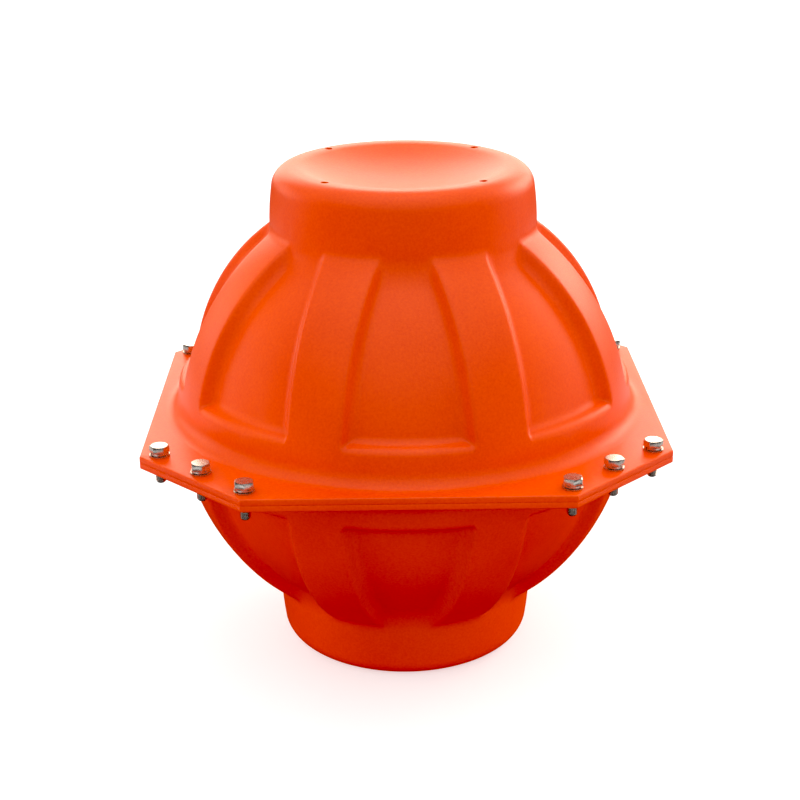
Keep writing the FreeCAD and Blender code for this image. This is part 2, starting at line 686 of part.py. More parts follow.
def make_spring_washer():
    bore = "dims.thread_radius + dims.washer_clearance"
    ring = make_ring("spring_ring", "dims.spring_washer_radius", bore, "dims.spring_washer_thickness")
    slit = doc.addObject("Part::Box", "spring_slit")
    slit.setExpression("Length", "dims.spring_washer_radius")
    slit.setExpression("Width", "dims.spring_washer_gap")
    slit.setExpression("Height", "dims.spring_washer_thickness")
    slit.setExpression("Placement.Base.y", "-dims.spring_washer_gap / 2")
    return make_cut("spring_washer", ring, slit)


bolt = make_bolt()
press_nut = make_press_nut()
spring_washer = make_spring_washer()
washer_bore = "dims.thread_radius + dims.washer_clearance"
flat_washer = make_ring("flat_washer", "dims.washer_radius", washer_bore, "dims.washer_thickness")
nut_seat_blank = make_cylinder("nut_seat", SEAT_RADIUS, "dims.flange_thickness")
doc.recompute()

# Heights of the stack of each bolt, from the face where the hats meet

nut_seat = -size("flange_thickness")
washer_seat = size("flange_thickness")
spring_seat = washer_seat + size("washer_thickness")
head_seat = spring_seat + size("spring_washer_thickness")

CORNERS = {
    "right_back": CORNER_ANGLE,
    "left_back": CORNER_ANGLE + 90,
    "left_front": CORNER_ANGLE + 180,
    "right_front": CORNER_ANGLE + 270,
}


def place_row(label, blank, seat, angle):
    """Three copies of a blank along the cut corner that looks along angle."""
    copies = []
    for side in (-1, 0, 1):
        copy = blank.Shape.copy()
        copy.Placement = Placement(Vector(bolt_row, side * bolt_spacing, seat), Rotation())
        copies.append(copy)
    row = doc.addObject("Part::Feature", label)
    row.Shape = Part.makeCompound(copies)
    row.Placement = Placement(Vector(0, 0, half_height), Rotation(UP, angle))
    return row


rows = []
nut_seats = []
for corner, angle in CORNERS.items():
    rows.append(place_row(f"bolts_{corner}", bolt, head_seat, angle))
    rows.append(place_row(f"spring_washers_{corner}", spring_washer, spring_seat, angle))
    rows.append(place_row(f"washers_{corner}", flat_washer, washer_seat, angle))
    rows.append(place_row(f"press_nuts_{corner}", press_nut, nut_seat, angle))
    nut_seats.append(place_row(f"nut_seats_{corner}", nut_seat_blank, nut_seat, angle))

# The lower hat is the upper one turned over, with its bolt holes bored out for the nuts

all_seats = doc.addObject("Part::Compound", "all_nut_seats")
all_seats.Links = nut_seats
lower_hat = make_cut("lower_hat", lower_blank, all_seats)

# Check and write

doc.recompute()
for item in doc.Objects:
    if "Invalid" in item.State or "Error" in item.State:
        raise RuntimeError(f"{item.Label} failed: {item.State}")

os.makedirs("parts", exist_ok=True)
pieces = [upper_hat, lower_hat, glass_upper_half, glass_lower_half, seal_band, tape_band] + rows
for piece in pieces:
    shape = piece.Shape
    if shape.isNull() or not shape.isValid() or not shape.Solids:
        raise RuntimeError(f"{piece.Label} has no valid solid")
    shape.exportStep(os.path.join("parts", piece.Label + ".step"))
    box = shape.BoundBox
    print(f"{piece.Label}: {len(shape.Solids)} solids, {shape.Volume:.0f} mm3, "
          f"z {box.ZMin:.1f} to {box.ZMax:.1f}, x {box.XMin:.1f} to {box.XMax:.1f}")
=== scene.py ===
# %% [markdown]
# # A deep-sea glass float in its hard hat
#
# The object is a hollow glass sphere that no one sees. Two orange plastic hats close
# over it, and twelve bolts hold their flanges together. This lesson dresses the packed
# solids: it gives the hats their moulded surface, models the bolts with their threads
# and washers, and lights the float as soft daylight does in the photograph.
#
# The imported model comes in first. The dressed model has to stay inside it.

# %% Load the imported model
import math

import bpy
from mathutils import Matrix, Vector


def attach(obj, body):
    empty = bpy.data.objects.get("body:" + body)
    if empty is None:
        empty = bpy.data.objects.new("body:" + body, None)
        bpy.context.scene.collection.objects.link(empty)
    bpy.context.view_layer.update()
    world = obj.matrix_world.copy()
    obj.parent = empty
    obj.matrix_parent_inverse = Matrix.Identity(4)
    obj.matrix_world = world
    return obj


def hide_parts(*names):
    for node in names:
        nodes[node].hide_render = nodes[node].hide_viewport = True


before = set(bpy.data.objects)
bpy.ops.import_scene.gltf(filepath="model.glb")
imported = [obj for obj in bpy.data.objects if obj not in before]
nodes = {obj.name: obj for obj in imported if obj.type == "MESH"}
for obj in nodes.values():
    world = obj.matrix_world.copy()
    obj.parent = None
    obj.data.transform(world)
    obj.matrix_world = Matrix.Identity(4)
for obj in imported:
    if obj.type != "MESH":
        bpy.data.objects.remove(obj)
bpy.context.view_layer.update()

print(len(nodes), "nodes")

# %% [markdown]
# ## Colours and nodes
#
# Colours are written as sRGB hex values, as a paint chart gives them. The shader needs
# linear values, so one function turns them. A second small function adds a shader node
# with its settings and its links, which keeps each material short enough to read.
#
# A pattern is as large as the thing it stands for. Noise in object coordinates has a
# scale in blobs per metre, so a third function works it out from a size in millimetres.
# One pixel of the final picture is about 1 mm on the float. A grain finer than that
# would only flicker, so it is drawn coarser, and a comment says so.

# %% Helpers for materials
MM = 0.001


def colour(hex_value):
    """An sRGB hex value as linear red, green, blue and alpha."""
    channels = [int(hex_value[place:place + 2], 16) / 255 for place in (0, 2, 4)]
    linear = [part / 12.92 if part <= 0.04045 else ((part + 0.055) / 1.055) ** 2.4
              for part in channels]
    return (*linear, 1.0)


def blobs(size):
    """Noise scale for blobs of this size in millimetres."""
    return 1 / (size * MM)


def add(owner, kind, inputs=None, **settings):
    """Add a shader node, set it, and fill its inputs with values or other nodes' outputs."""
    node = owner.node_tree.nodes.new("ShaderNode" + kind)
    for name, value in settings.items():
        setattr(node, name, value)
    for name, value in (inputs or {}).items():
        if isinstance(value, bpy.types.NodeSocket):
            owner.node_tree.links.new(value, node.inputs[name])
        else:
            node.inputs[name].default_value = value
    return node


def new_material(name):
    """An empty node material and its object coordinates."""
    material = bpy.data.materials.new(name)
    material.use_nodes = True
    material.node_tree.nodes.clear()
    return material, add(material, "TexCoord").outputs["Object"]


def finish_material(material, shader):
    """Join the shader to the output."""
    add(material, "OutputMaterial", {"Surface": shader.outputs["BSDF"]})
    print("material", material.name, len(material.node_tree.nodes), "nodes")
    return material


print("middle grey is", round(colour("808080")[0], 3), "in linear values")

# %% [markdown]
# ## Moulded orange polyethylene
#
# The hats are polyethylene powder, melted inside a turning mould. The plastic is
# coloured all through. Its skin is satin: a fine pebble from the blasted mould, and a
# slow waviness where the wall shrank as it cooled.
#
# One colour and one roughness would look like painted card, and a picture of real
# plastic would bring its own light with it. So noise is used, once for each thing that
# happens to the skin: cloudy colour, specks of pigment, pebble and waviness. The eye
# reads the broken, soft highlights as thick plastic. Polyethylene has an index of
# refraction of about 1.51.

# %% Orange polyethylene, rotationally moulded
# The real pebble is 0.3 mm and a speck 0.5 mm; both are drawn coarser, so that they show.
CLOUD_SIZE, SPECK_SIZE, PEBBLE_SIZE, WAVE_SIZE = 110.0, 2.4, 1.5, 38.0
orange, place = new_material("orange_polyethylene_moulded")
cloud = add(orange, "TexNoise", {"Vector": place, "Scale": blobs(CLOUD_SIZE), "Detail": 3.0})
speck = add(orange, "TexNoise", {"Vector": place, "Scale": blobs(SPECK_SIZE), "Roughness": 0.6})
tone = add(orange, "ValToRGB", {"Fac": cloud.outputs["Fac"]})
tone.color_ramp.elements[0].position = 0.3
tone.color_ramp.elements[0].color = colour("E44800")
tone.color_ramp.elements[1].position = 0.72
tone.color_ramp.elements[1].color = colour("EE5200")
fine = add(orange, "Mix", {"Factor": 0.4, "A": tone.outputs["Color"], "B": speck.outputs["Fac"]},
           data_type="RGBA", blend_type="OVERLAY")
pebble = add(orange, "TexNoise", {"Vector": place, "Scale": blobs(PEBBLE_SIZE), "Detail": 3.0})
wave = add(orange, "TexNoise", {"Vector": place, "Scale": blobs(WAVE_SIZE)})
fine_bump = add(orange, "Bump", {"Height": pebble.outputs["Fac"], "Strength": 0.3,
                                 "Distance": 0.5 * MM})
slow_bump = add(orange, "Bump", {"Height": wave.outputs["Fac"], "Strength": 0.22,
                                 "Distance": 1.2 * MM, "Normal": fine_bump.outputs["Normal"]})
gloss = add(orange, "MapRange", {"Value": cloud.outputs["Fac"], "To Min": 0.36, "To Max": 0.46})
skin = add(orange, "BsdfPrincipled", {
    "Base Color": fine.outputs["Result"], "Roughness": gloss.outputs["Result"], "IOR": 1.51,
    "Specular IOR Level": 0.45, "Normal": slow_bump.outputs["Normal"]})
finish_material(orange, skin)

# %% [markdown]
# ## Stainless steel
#
# The bolts, nuts and washers are cold-formed stainless steel, tumbled clean. The metal is
# a warm pale grey and fairly glossy, and mirrors the orange around it.
#
# A metal has no colour of its own beside its reflections, so most of its look comes from
# the lamps. The material adds what tumbling leaves: fine marks that spread each
# highlight, and patches a little duller than the rest. They tell the eye that the bolts
# are small used parts and not chrome.

# %% Cold-formed stainless steel
# The real marks are 0.1 mm wide; they are drawn eleven times as coarse, so that they show.
MARK_SIZE, PATCH_SIZE = 1.1, 6.0
steel, place = new_material("stainless_steel_cold_formed")
grain = add(steel, "TexNoise", {"Vector": place, "Scale": blobs(MARK_SIZE), "Detail": 3.0})
patch = add(steel, "TexNoise", {"Vector": place, "Scale": blobs(PATCH_SIZE)})
shade = add(steel, "ValToRGB", {"Fac": patch.outputs["Fac"]})
shade.color_ramp.elements[0].color = colour("C6BFB6")
shade.color_ramp.elements[1].color = colour("EAE5DE")
rough = add(steel, "MapRange", {"Value": grain.outputs["Fac"], "To Min": 0.2, "To Max": 0.34})
scuff = add(steel, "Bump", {"Height": grain.outputs["Fac"], "Strength": 0.1,
                            "Distance": 0.2 * MM})
metal = add(steel, "BsdfPrincipled", {
    "Base Color": shade.outputs["Color"], "Metallic": 0.95, "Roughness": rough.outputs["Result"],
    "Normal": scuff.outputs["Normal"]})
finish_material(steel, metal)

# %% [markdown]
# ## Glass, butyl and tape
#
# Three finishes are never seen from outside, but someone may open the model. The sphere
# is pressed borosilicate glass: clear, faintly green at its edge, with an index of
# refraction of 1.47. Slow streaks from the press bend the light a little, which tells
# glass from air. The joint is sealed with extruded butyl rubber, matt and nearly black,
# with drag marks from the die. A satin vinyl tape is wound over it, and the edges of its
# turns show as fine steps.
#
# Each could be a plain colour, since the hats hide them. One noise or wave apiece costs
# little, and keeps them true when the hats are taken off.

# %% Glass, butyl and tape
STREAK_SIZE, DRAG_SIZE, TURN_STEP = 80.0, 4.0, 10.0
glass, place = new_material("borosilicate_glass_pressed")
streak = add(glass, "TexNoise", {"Vector": place, "Scale": blobs(STREAK_SIZE)})
ripple = add(glass, "Bump", {"Height": streak.outputs["Fac"], "Strength": 0.05, "Distance": MM})
clear = add(glass, "BsdfPrincipled", {
    "Base Color": colour("DFF0EC"), "Roughness": 0.03, "IOR": 1.47, "Transmission Weight": 1.0,
    "Normal": ripple.outputs["Normal"]})
finish_material(glass, clear)

butyl, place = new_material("butyl_rubber_extruded")
drag = add(butyl, "TexNoise", {"Vector": place, "Scale": blobs(DRAG_SIZE)})
drag_bump = add(butyl, "Bump", {"Height": drag.outputs["Fac"], "Strength": 0.2,
                                "Distance": 0.4 * MM})
matt = add(butyl, "BsdfPrincipled", {
    "Base Color": colour("1B1B1A"), "Roughness": 0.82, "IOR": 1.53,
    "Normal": drag_bump.outputs["Normal"]})
finish_material(butyl, matt)

# The tape overlaps itself, so an edge shows every 10 mm. A wave repeats at tau / 20 / scale.
tape, place = new_material("vinyl_tape_wound")
turns = add(tape, "TexWave", {"Vector": place, "Scale": math.tau / 20 * blobs(TURN_STEP),
                              "Distortion": 0.6}, bands_direction="Z")
step_bump = add(tape, "Bump", {"Height": turns.outputs["Fac"], "Strength": 0.15,
                               "Distance": 0.4 * MM})
satin = add(tape, "BsdfPrincipled", {
    "Base Color": colour("242426"), "Roughness": 0.42, "IOR": 1.54,
    "Normal": step_bump.outputs["Normal"]})
finish_material(tape, satin)

# %% [markdown]
# ## Tools for turned pieces
#
# Nearly every piece of the float is round, as if made on a lathe. Stacked cylinders and
# cones would give hard steps and need a bevel at each one. So a half section is drawn
# once, with its roundings in it, and spun about the upright axis. The spin leaves a seam
# and many points on the axis, so doubles are merged and the faces are turned outwards
# afterwards. Each point keeps the number of its place in the section, to find it again.

# %% Spin a half section
def take(piece):
    """Make this the only selected object."""
    bpy.ops.object.select_all(action="DESELECT")
    piece.select_set(True)
    bpy.context.view_layer.objects.active = piece


def clean(piece):
    """Merge doubles, close open ends and turn the faces outwards."""
    take(piece)
    bpy.ops.object.mode_set(mode="EDIT")
    bpy.ops.mesh.select_all(action="SELECT")
    bpy.ops.mesh.remove_doubles(threshold=0.000001)
    bpy.ops.mesh.fill_holes(sides=0)
    bpy.ops.mesh.select_all(action="SELECT")
    bpy.ops.mesh.normals_make_consistent(inside=False)
    bpy.ops.object.mode_set(mode="OBJECT")


def turn(name, section, steps, closed=False, degrees=360.0):
    """Spin a half section, given as (radius, height) in millimetres, about the upright axis."""
    count = len(section)
    edges = [(place, place + 1) for place in range(count - 1)]
    if closed:
        edges.append((count - 1, 0))
    mesh = bpy.data.meshes.new(name)
    mesh.from_pydata([(x * MM, 0, z * MM) for x, z in section], edges, [])
    level = mesh.attributes.new("level", "INT", "POINT")
    level.data.foreach_set("value", list(range(count)))
    piece = bpy.data.objects.new(name, mesh)
    bpy.context.scene.collection.objects.link(piece)
    take(piece)
    bpy.ops.object.mode_set(mode="EDIT")
    bpy.ops.mesh.select_all(action="SELECT")
    bpy.ops.mesh.spin(steps=steps, angle=math.radians(degrees), center=(0, 0, 0), axis=(0, 0, 1))
    bpy.ops.object.mode_set(mode="OBJECT")
    clean(piece)
    return piece


def arc(centre, radius, first, last, steps):
    """Points along an arc, with its angles in degrees."""
    angles = [math.radians(first + (last - first) * step / steps) for step in range(steps + 1)]
    return [(centre[0] + radius * math.cos(angle), centre[1] + radius * math.sin(angle))
            for angle in angles]


quarter_end = arc((0, 0), 10, 0, 90, 6)[-1]
print("a quarter circle of 10 mm ends at", [round(value, 1) for value in quarter_end])

# %% [markdown]
# ## Tools to cut, copy and keep
#
# On the real hat a drill makes the holes, and here a round bar is taken away by a
# boolean. A fastener is modelled once. Its copies each get their own mesh, turned and
# moved in the mesh, so that every object stays at the origin and can be measured there.
# A finished piece is smoothed, dressed, tied to the body and put in the place of the
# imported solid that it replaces.

# %% Cut, copy and keep
def cut(piece, cutter, operation="DIFFERENCE"):
    """Apply a boolean and delete its cutter."""
    take(piece)
    knife = piece.modifiers.new("cut", "BOOLEAN")
    knife.operation = operation
    knife.object = cutter
    knife.solver = "EXACT"
    bpy.ops.object.modifier_apply(modifier=knife.name)
    bpy.data.objects.remove(cutter)


def keep(piece, node, material, angle=35.0):
    """Smooth a finished piece, dress it and put it in the place of its node."""
    take(piece)
    bpy.ops.object.shade_smooth_by_angle(angle=math.radians(angle))
    level = piece.data.attributes.get("level")
    if level:
        piece.data.attributes.remove(level)
    dress(piece, material)
    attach(piece, "root")
    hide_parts(node)


def dress(piece, material):
    """Give a piece this one material."""
    piece.data.materials.clear()
    piece.data.materials.append(material)


def copy_of(piece, name, turn_by, move_by):
    """A copy with its own mesh, turned and moved in the mesh itself."""
    twin = bpy.data.objects.new(name, piece.data.copy())
    bpy.context.scene.collection.objects.link(twin)
    twin.data.transform(Matrix.Translation(move_by) @ turn_by.to_4x4())
    return twin


print("ready to cut, copy and dress for", len(nodes), "nodes")

# %% [markdown]
# ## The hat: two outlines
#
# A hat is rotationally moulded, so every edge is soft. It has a ring above the flange,
# eight ribs that rise from the ring to the neck, and eight sunk windows between them.
# Two half sections describe it: one through a rib, on a ball of 236.5 mm, and one
# through a window, on a ball of 223.5 mm. Both end in the same neck. A sharp solid with
# bevels would need a different bevel at each meeting of edges. Here the skin is spun
# along the rib outline, and then it is let down to the window outline where the windows
# are, with soft shoulders and feet, as powder flows in the mould.

# %% Sizes of the hat, in millimetres
RIB_BALL, WINDOW_BALL, HALF_HEIGHT, WALL = 236.5, 223.5, 256.0, 7.0
NECK_RADIUS, CREST, DISH_RADIUS, DISH_DEPTH, DISH_RIM = 132.2, 20.0, 303.7, 18.0, 30.0
RIB_ROOT, WINDOW_ROOT = 12.0, 40.0
NECK_LEAN = math.radians(3.9)
SEAM = HALF_HEIGHT * MM
print("a hat is", HALF_HEIGHT, "mm tall, and a rib stands", RIB_BALL - WINDOW_BALL, "mm proud")

# %% Half sections of the hat
NECK_OUT = Vector((math.cos(NECK_LEAN), math.sin(NECK_LEAN)))
NECK_DOWN = Vector((math.sin(NECK_LEAN), -math.cos(NECK_LEAN)))


def neck_top(wall, fine):
    """Dished top and crest, from the axis to where the side of the neck begins."""
    dish_radius, rim, crest = DISH_RADIUS + wall, DISH_RIM - wall, CREST - wall
    top = HALF_HEIGHT - wall
    dish_centre = (0.0, HALF_HEIGHT - DISH_DEPTH + DISH_RADIUS)
    rim_y = top - rim
    rim_x = math.sqrt((dish_radius + rim) ** 2 - (dish_centre[1] - rim_y) ** 2)
    sweep = math.degrees(math.atan2(rim_x, dish_centre[1] - rim_y))
    crest_end = Vector((NECK_RADIUS, HALF_HEIGHT - CREST + CREST * math.sin(NECK_LEAN)))
    crest_centre = crest_end - NECK_OUT * CREST
    dish = arc(dish_centre, dish_radius, -90.0, -90.0 + sweep, 12 if fine else 5)
    rim_arc = arc((rim_x, rim_y), rim, 90.0 + sweep, 90.0, 6 if fine else 2)
    crest_arc = arc(crest_centre, crest, 90.0, math.degrees(NECK_LEAN), 12 if fine else 4)
    return dish + rim_arc[1:] + crest_arc


def neck_to_ball(ball, fillet, side_top):
    """Side of the neck, its root fillet and the ball, down to the seam."""
    beside = side_top + NECK_OUT * fillet
    along = beside.dot(NECK_DOWN)
    way = -along - math.sqrt(along ** 2 - beside.dot(beside) + (ball + fillet) ** 2)
    centre = beside + NECK_DOWN * way
    low = math.degrees(math.atan2(centre.y, centre.x))
    root = arc(centre, fillet, 180.0 + math.degrees(NECK_LEAN), 180.0 + low, 24)
    return [tuple(side_top)] + root + arc((0, 0), ball, low, 0.0, 120)[1:]


def reach(outline, angle):
    """How far the outline is from the middle of the float, in the direction of this angle."""
    polar = [(math.degrees(math.atan2(z, x)), math.hypot(x, z)) for x, z in outline]
    for (high, far), (low, near) in zip(polar, polar[1:]):
        if low <= angle <= high:
            return near + (far - near) * (angle - low) / (high - low) if high > low else far
    return polar[-1][1]


skins = []
for wall, fine in ((0.0, True), (WALL, False)):
    top = neck_top(wall, fine)
    side_top = Vector(top[-1])
    skins.append((top, neck_to_ball(RIB_BALL - wall, RIB_ROOT + wall, side_top),
                  neck_to_ball(WINDOW_BALL - wall, WINDOW_ROOT + wall, side_top)))
print("neck begins at", [round(value, 1) for value in skins[0][0][-1]])

# %% [markdown]
# ## The hat: the walls of a window
#
# A window has two kinds of wall. The side of a rib is steep, with a tight shoulder and a
# wider foot. The ledge at the bottom is a broad soft roll. Each wall gives the share
# of the full depth at a distance inside its rim, and where both meet, in a lower corner,
# the shallower one holds, with a little rounding as the powder leaves it.

# %% How deep the skin lies in a window
DEPTH, RIB_EDGE, LEDGE_EDGE = RIB_BALL - WINDOW_BALL, 24.3, 35.0
SHOULDER, FOOT, DRAFT = 4.5, 9.0, 22.0
LEDGE_SHOULDER, LEDGE_FOOT, LEDGE_LEAN = 9.0, 10.0, 28.5


def wall_of(shoulder, foot, draft):
    """Width of a wall, and the share of the full depth at a distance inside its rim."""
    lean = math.radians(draft)
    shoulder_width, shoulder_drop = shoulder * math.cos(lean), shoulder * (1 - math.sin(lean))
    foot_width, foot_drop = foot * math.cos(lean), foot * (1 - math.sin(lean))
    width = shoulder_width + (DEPTH - shoulder_drop - foot_drop) * math.tan(lean) + foot_width

    def share(inside):
        if inside <= 0:
            drop = 0.0
        elif inside < shoulder_width:
            drop = shoulder - math.sqrt(shoulder ** 2 - inside ** 2)
        elif inside < width - foot_width:
            drop = shoulder_drop + (inside - shoulder_width) / math.tan(lean)
        elif inside < width:
            drop = DEPTH - foot + math.sqrt(foot ** 2 - (width - inside) ** 2)
        else:
            drop = DEPTH
        return drop / DEPTH

    return width, share


SIDE_WIDTH, side_share = wall_of(SHOULDER, FOOT, DRAFT)
LEDGE_WIDTH, ledge_share = wall_of(LEDGE_SHOULDER, LEDGE_FOOT, LEDGE_LEAN)


def sunk(across, up):
    """Share of the full depth: across from the rib's edge and up from the ledge's."""
    left = math.hypot((1 - side_share(across)) ** 2, (1 - ledge_share(up)) ** 2)
    return max(0.0, 1 - math.sqrt(left))


print("side of a rib", round(SIDE_WIDTH, 1), "mm wide, ledge", round(LEDGE_WIDTH, 1), "mm")

# %% [markdown]
# ## The hat: rows and columns
#
# The spin makes 400 columns, 50 for each rib and half window on both of its sides. They
# are shifted to run along the straight edges of the rib, close together on its
# shoulders and feet. The rows lie closer on the ledge and at the root of the neck, where
# the skin bends most. A turned row is a plain circle and a dome row is an angle above the
# seam. A plate row follows the eight-sided edge by the share that it gives.

# %% Rows and columns
COLUMNS, RIBS = 400, 8
PER_RIB = COLUMNS // RIBS
BENDS = (0, 17, 34, 51, 68)
# How far each column lies from the middle of its rib, and then across the window as a share.
offsets = [0.0, 9.0, 16.0, 20.5]
offsets += [RIB_EDGE + SHOULDER * math.sin(math.radians(bend)) for bend in BENDS]
offsets += [RIB_EDGE + SIDE_WIDTH - FOOT * math.sin(math.radians(bend)) for bend in reversed(BENDS)]
spread = [0.04, 0.085, 0.135, 0.19, 0.25, 0.325, 0.41, 0.51, 0.62, 0.74, 0.87, 1.0]
FLANGE_HALF, FLANGE_EDGE, FLANGE = 258.5, 154.0, 6.5
RING_ROOT, FLANGE_ROUND, SEAM_ROUND = 16.0, 1.5, 0.6
HALF_PITCH = math.radians(180.0 / RIBS)


def bearing(column, radius):
    """Angle from the middle of the rib to this column, at this distance from the axis."""
    foot = math.asin(offsets[-1] / radius)
    if column < len(offsets):
        return math.asin(offsets[column] / radius)
    return foot + spread[column - len(offsets)] * (HALF_PITCH - foot)


def flange_bearing(column):
    """The same on the flange, where one column meets each corner of the outline."""
    corner = math.atan2(FLANGE_EDGE, FLANGE_HALF) - HALF_PITCH
    beside = math.radians(0.4)
    special = {10: corner - beside, 11: corner, 12: corner + beside}
    return special.get(column, bearing(column, RIB_BALL))


def flange_edge(angle):
    """Distance from the axis to the edge of the flange."""
    angle = math.remainder(angle, math.pi / 2)
    cut_corner = (FLANGE_HALF + FLANGE_EDGE) / math.sqrt(2)
    return min(FLANGE_HALF / math.cos(angle), cut_corner / math.cos(abs(angle) - math.pi / 4))


def steps(first, last, size):
    """Even steps of about this size, both ends included."""
    count = max(1, round(abs(last - first) / size))
    return [first + (last - first) * step / count for step in range(count + 1)]


side_angle = math.degrees(math.atan2(skins[0][0][-1][1], skins[0][0][-1][0]))
outer_angles = steps(side_angle, 57.0, 1.3)[1:] + steps(57.0, 49.0, 0.4)[1:]
outer_angles += steps(49.0, 15.0, 1.3)[1:] + steps(15.0, 8.0, 0.3)[1:] + [7.2, 6.4, 5.7]
inner_angles = [2.0, 5.0, 8.0, 10.0, 12.0, 14.0, 16.0]
inner_angles += steps(20.0, 48.0, 4.0) + [50.0, 52.0, 54.0, 56.0, 58.0]

rows = [("turned", x, z) for x, z in skins[0][0]]
rows += [("dome", angle, 0) for angle in outer_angles]
root_z = FLANGE + RING_ROOT
root_x = math.sqrt((RIB_BALL + RING_ROOT) ** 2 - root_z ** 2)
low = math.degrees(math.atan2(root_z, root_x))
rows += [("plate", x, 0.0, z) for x, z in arc((root_x, root_z), RING_ROOT, 180.0 + low, 270.0, 10)]
rows += [("plate", root_x / 2, 0.5, FLANGE)]
rows += [("plate", x, 1.0, z) for x, z in
         arc((-FLANGE_ROUND, FLANGE - FLANGE_ROUND), FLANGE_ROUND, 90.0, 0.0, 4)]
rows += [("plate", x, 1.0, z) for x, z in arc((-SEAM_ROUND, SEAM_ROUND), SEAM_ROUND, 0.0, -90.0, 3)]
rows += [("plate", 240.0, 0.0, 0.0), ("plate", RIB_BALL - WALL, 0.0, 0.0)]
rows += [("dome", angle, 1) for angle in inner_angles]
rows += [("turned", x, z) for x, z in reversed(skins[1][0])]
print(len(rows), "rows of", COLUMNS, "columns")

# %% [markdown]
# ## The hat: the skin
#
# The skin of the real hat is one piece of plastic with no seam at any rib. Ribs joined to
# a ball by booleans would leave seams to round off. Here the rows are spun as a plain
# round shell, and then each point is moved to its place: dome points sink where a window
# is, and flange points go out to the cut corners. The mesh stays one closed skin.

# %% Spin the shell and shape it
outline = []
for row in rows:
    if row[0] == "turned":
        outline.append((row[1], row[2]))
    elif row[0] == "plate":
        outline.append((row[1] + row[2] * FLANGE_HALF, row[3]))
    else:
        far = reach(skins[row[2]][1], row[1])
        outline.append((far * math.cos(math.radians(row[1])), far * math.sin(math.radians(row[1]))))
outline[0] = (0.0, outline[0][1])
outline[-1] = (0.0, outline[-1][1])

hat = turn("upper_hat_skin", outline, COLUMNS)
dome_rows = {place: (reach(skins[row[2]][1], row[1]), reach(skins[row[2]][2], row[1]))
             for place, row in enumerate(rows) if row[0] == "dome"}
row_of = [0] * len(hat.data.vertices)
hat.data.attributes["level"].data.foreach_get("value", row_of)
for vertex, place in zip(hat.data.vertices, row_of):
    row = rows[place]
    if math.hypot(vertex.co.x, vertex.co.y) < MM:
        continue
    column = round(math.atan2(vertex.co.y, vertex.co.x) / math.tau * COLUMNS) % COLUMNS
    rib, across = divmod(column, PER_RIB)
    across -= PER_RIB // 2
    middle_of_rib = (2 * rib + 1) * HALF_PITCH
    if row[0] == "turned":
        angle, radius, height = bearing(abs(across), skins[0][0][-1][0]), row[1], row[2]
    elif row[0] == "plate":
        angle = flange_bearing(abs(across))
        edge = flange_edge(middle_of_rib + math.copysign(angle, across))
        radius, height = row[1] + row[2] * edge, row[3]
    else:
        polar = math.radians(row[1])
        far, near = dome_rows[place]
        sideways = far * math.cos(polar) * math.sin(bearing(abs(across), far * math.cos(polar)))
        inset = WALL * row[2]
        share = sunk(sideways - RIB_EDGE + inset, polar * RIB_BALL - LEDGE_EDGE + inset)
        span = far + (near - far) * share
        radius, height = span * math.cos(polar), span * math.sin(polar)
        angle = bearing(abs(across), radius) if row[1] > 8 else flange_bearing(abs(across))
    angle = middle_of_rib + math.copysign(angle, across)
    vertex.co = Vector((radius * math.cos(angle), radius * math.sin(angle), height)) * MM
hat.data.update()
print("hat skin", len(hat.data.polygons), "faces")

# %% [markdown]
# ## The hat: holes
#
# Twelve bolt holes go through the flange, three at each cut corner. Four small holes in
# the neck let the water in and out. In the lower hat the bolt holes are bored out for
# the barrels of the press nuts. The holes could be left out of the grid of faces, but a
# boolean keeps them round however the grid runs.

# %% Drill the holes and keep both hats
BOLT_ROW, BOLT_SPACING, FLOOD_ROW = 275.878, 62.294, 107.5
FLOOD_HOLE, BOLT_HOLE, BARREL_HOLE = 4.0, 5.5, 7.2
quarter_turns = [Matrix.Rotation(math.radians(45 + 90 * quarter), 3, "Z") for quarter in range(4)]
bolt_places = [turn_by @ Vector((BOLT_ROW, side * BOLT_SPACING, 0)) * MM
               for turn_by in quarter_turns for side in (-1, 0, 1)]
flood_places = [turn_by @ Vector((FLOOD_ROW, 0, 0)) * MM for turn_by in quarter_turns]


def drills(places, radius, low, high):
    """Round bars at these places, as one cutter; sizes in millimetres."""
    bpy.ops.object.select_all(action="DESELECT")
    bars = []
    for spot in places:
        bpy.ops.mesh.primitive_cylinder_add(
            vertices=40, radius=radius * MM, depth=(high - low) * MM,
            location=(spot.x, spot.y, (low + high) / 2 * MM))
        bars.append(bpy.context.active_object)
    bpy.ops.object.select_all(action="DESELECT")
    for bar in bars:
        bar.select_set(True)
    bpy.context.view_layer.objects.active = bars[0]
    bpy.ops.object.join()
    return bars[0]


cut(hat, drills(flood_places, FLOOD_HOLE, 200.0, 270.0))
turned_over = Matrix.Rotation(math.pi, 3, "X")
lower = copy_of(hat, "lower_hat_skin", turned_over, Vector((0, 0, SEAM)))
hat.data.transform(Matrix.Translation((0, 0, SEAM)))
cut(hat, drills(bolt_places, BOLT_HOLE, HALF_HEIGHT - 10.0, HALF_HEIGHT + 10.0))
cut(lower, drills(bolt_places, BARREL_HOLE, HALF_HEIGHT - 10.0, HALF_HEIGHT + 10.0))
keep(hat, "upper_hat", orange)
keep(lower, "lower_hat", orange)
print("hats", len(hat.data.polygons), len(lower.data.polygons), "faces")

# %% [markdown]
# ## One bolt
#
# The bolts are M10, cold-headed from wire, so the corners of the hexagon are rounded off
# by a cone. Their thread is rolled with a pitch of 1.5 mm. A thread painted on as bump
# would vanish at the edge of the picture, where the bolt ends stand out under the
# flange, so it is a real helix. The bolt is made about the axis, with the seat of the
# head at zero.

